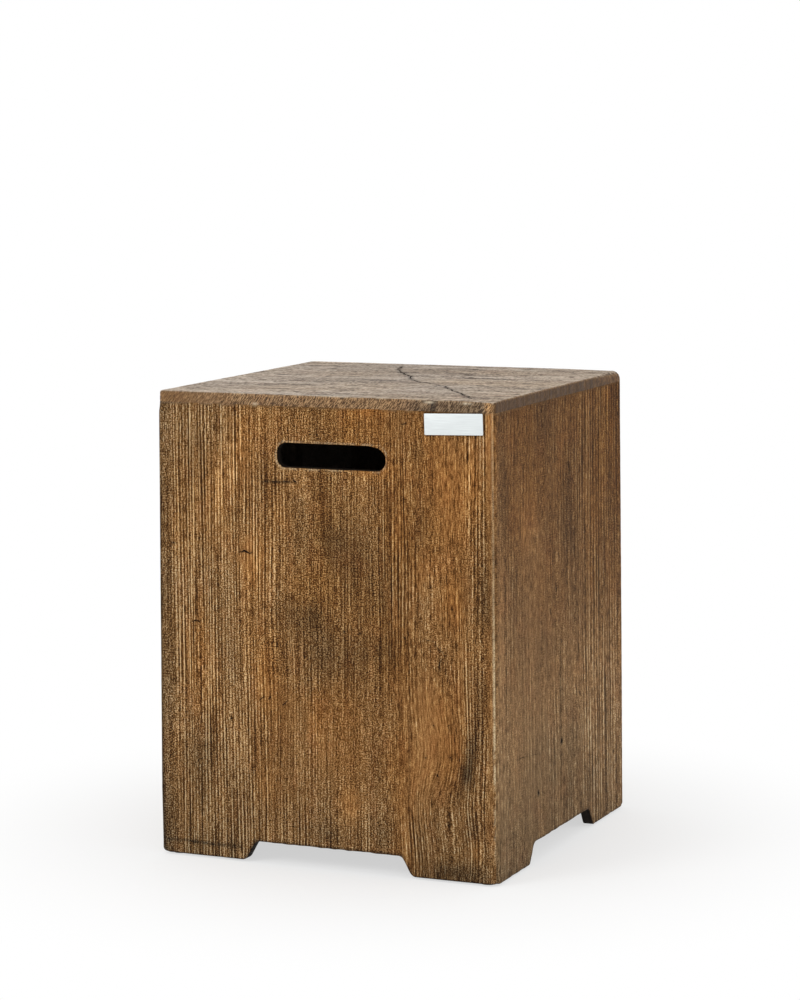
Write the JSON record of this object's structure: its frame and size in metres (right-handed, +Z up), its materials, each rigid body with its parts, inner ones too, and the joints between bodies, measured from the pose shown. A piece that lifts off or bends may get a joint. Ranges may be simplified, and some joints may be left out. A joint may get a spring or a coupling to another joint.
{
  "type": "propane tank cover table",
  "caption": "Square outdoor side table cast with an upright wood grain, open underneath to stand over a propane cylinder, with handle slots and hose cut-outs between its feet.",
  "frame": {"origin": "on the floor under the centre of the base", "axes": "+Z up; the front, with the handle slot and the name plate, faces -Y; +X to the right seen from the front"},
  "size_m": [0.4, 0.4, 0.513],
  "materials": {
    "wall_casting": "fibre-reinforced magnesia-cement casting, imprinted and stained as upright brushed softwood, mid brown",
    "top_casting": "the same casting with a shallow plank grain, rubbed pale grey-brown, satin sealer",
    "cove_compound": "trowelled casting compound over glass mesh, dark stained, matt",
    "plate_metal": "fine brushed, clear",
    "tape_foam": "black adhesive foam",
    "pad_rubber": "black, matt"
  },
  "bodies": {
    "root": {"front_panel": "wall_casting", "right_panel": "wall_casting", "back_panel": "wall_casting", "left_panel": "wall_casting", "top_panel": "top_casting", "corner_gusset_front_right": "cove_compound", "corner_gusset_back_right": "cove_compound", "corner_gusset_back_left": "cove_compound", "corner_gusset_front_left": "cove_compound", "top_fillet_front": "cove_compound", "top_fillet_right": "cove_compound", "top_fillet_back": "cove_compound", "top_fillet_left": "cove_compound", "name_plate": "plate_metal", "plate_tape": "tape_foam", "foot_pad_front_right": "pad_rubber", "foot_pad_back_right": "pad_rubber", "foot_pad_back_left": "pad_rubber", "foot_pad_front_left": "pad_rubber"}
  },
  "joints": []
}
